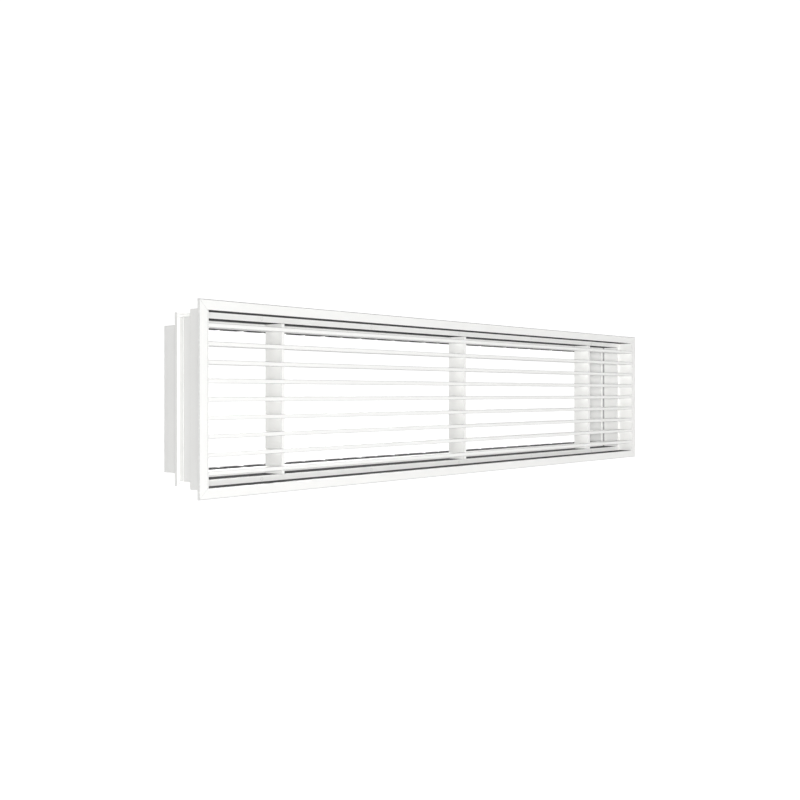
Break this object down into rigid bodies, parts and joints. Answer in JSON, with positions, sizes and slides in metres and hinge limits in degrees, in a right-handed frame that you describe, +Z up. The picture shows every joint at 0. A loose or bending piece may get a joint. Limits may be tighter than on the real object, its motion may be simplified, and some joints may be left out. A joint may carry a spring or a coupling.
{
  "type": "louvred air grille",
  "caption": "Flanged wall grille with fixed horizontal bars in a pull-out core, on a recessed neck and a notched rear wall sleeve.",
  "frame": {"origin": "centre of the wall opening, in the plane of the wall face where the border flange's rear face rests", "axes": "+X along the grille to the right as seen from the room, +Y into the wall, +Z up"},
  "size_m": [1.024, 0.0977, 0.224],
  "materials": {
    "white_powder_coat": "satin white powder coat on extruded aluminium",
    "white_sheet_coat": "satin white powder coat on folded sheet",
    "painted_rivet": "white painted rivet head",
    "black_lining": "matt black flocked strip",
    "grey_seal": "grey closed-cell foam",
    "bare_aluminium": "mill finish",
    "zinc_steel": "bright zinc plate",
    "spring_steel": "stainless spring steel"
  },
  "bodies": {
    "border": {"frame_top": "white_powder_coat", "neck_top": "white_sheet_coat", "coupling_top": "white_powder_coat", "sleeve_top": "white_sheet_coat", "neck_seal_top": "grey_seal", "frame_bottom": "white_powder_coat", "neck_bottom": "white_sheet_coat", "coupling_bottom": "white_powder_coat", "sleeve_bottom": "white_sheet_coat", "neck_seal_bottom": "grey_seal", "frame_left": "white_powder_coat", "neck_left": "white_sheet_coat", "coupling_left": "white_powder_coat", "sleeve_left": "white_sheet_coat", "neck_seal_left": "grey_seal", "frame_right": "white_powder_coat", "neck_right": "white_sheet_coat", "coupling_right": "white_powder_coat", "sleeve_right": "white_sheet_coat", "neck_seal_right": "grey_seal", "collar_lining_top": "black_lining", "neck_lining_top": "black_lining", "sleeve_lining_top": "black_lining", "collar_lining_bottom": "black_lining", "neck_lining_bottom": "black_lining", "sleeve_lining_bottom": "black_lining", "corner_cleats": "bare_aluminium", "flange_seal": "grey_seal", "ledge_rivets": "painted_rivet", "sleeve_rivets": "bare_aluminium", "cleat_rivets": "bare_aluminium", "clip_rivets": "bare_aluminium", "joining_cleats": "zinc_steel", "clip_bases": "spring_steel"},
    "core": {"bar_1": "white_powder_coat", "bar_2": "white_powder_coat", "bar_3": "white_powder_coat", "bar_4": "white_powder_coat", "bar_5": "white_powder_coat", "bar_6": "white_powder_coat", "bar_7": "white_powder_coat", "bar_8": "white_powder_coat", "bar_9": "white_powder_coat", "tie_plate_left": "white_powder_coat", "tie_plate_middle": "white_powder_coat", "tie_plate_right": "white_powder_coat", "core_end_plate_left": "white_powder_coat", "core_end_plate_right": "white_powder_coat", "end_screws": "zinc_steel", "core_springs": "spring_steel"},
    "clip_arm_top_left": {"clip_arm_top_left": "spring_steel"},
    "clip_arm_top_right": {"clip_arm_top_right": "spring_steel"},
    "clip_arm_bottom_left": {"clip_arm_bottom_left": "spring_steel"},
    "clip_arm_bottom_right": {"clip_arm_bottom_right": "spring_steel"}
  },
  "joints": [
    {"name": "core_slide", "type": "slide", "parent": "border", "child": "core", "axis": [0, -1, 0], "range_m": [0, 0.03]},
    {"name": "clip_arm_top_left_flex", "type": "hinge", "parent": "border", "child": "clip_arm_top_left", "pos_m": [-0.35, 0.022, 0.1039], "axis": [1, 0, 0], "range_deg": [0, 12], "stiffness_Nm_per_rad": 1.3},
    {"name": "clip_arm_top_right_flex", "type": "hinge", "parent": "border", "child": "clip_arm_top_right", "pos_m": [0.35, 0.022, 0.1039], "axis": [1, 0, 0], "range_deg": [0, 12], "stiffness_Nm_per_rad": 1.3},
    {"name": "clip_arm_bottom_left_flex", "type": "hinge", "parent": "border", "child": "clip_arm_bottom_left", "pos_m": [-0.35, 0.022, -0.1039], "axis": [-1, 0, 0], "range_deg": [0, 12], "stiffness_Nm_per_rad": 1.3},
    {"name": "clip_arm_bottom_right_flex", "type": "hinge", "parent": "border", "child": "clip_arm_bottom_right", "pos_m": [0.35, 0.022, -0.1039], "axis": [-1, 0, 0], "range_deg": [0, 12], "stiffness_Nm_per_rad": 1.3}
  ]
}
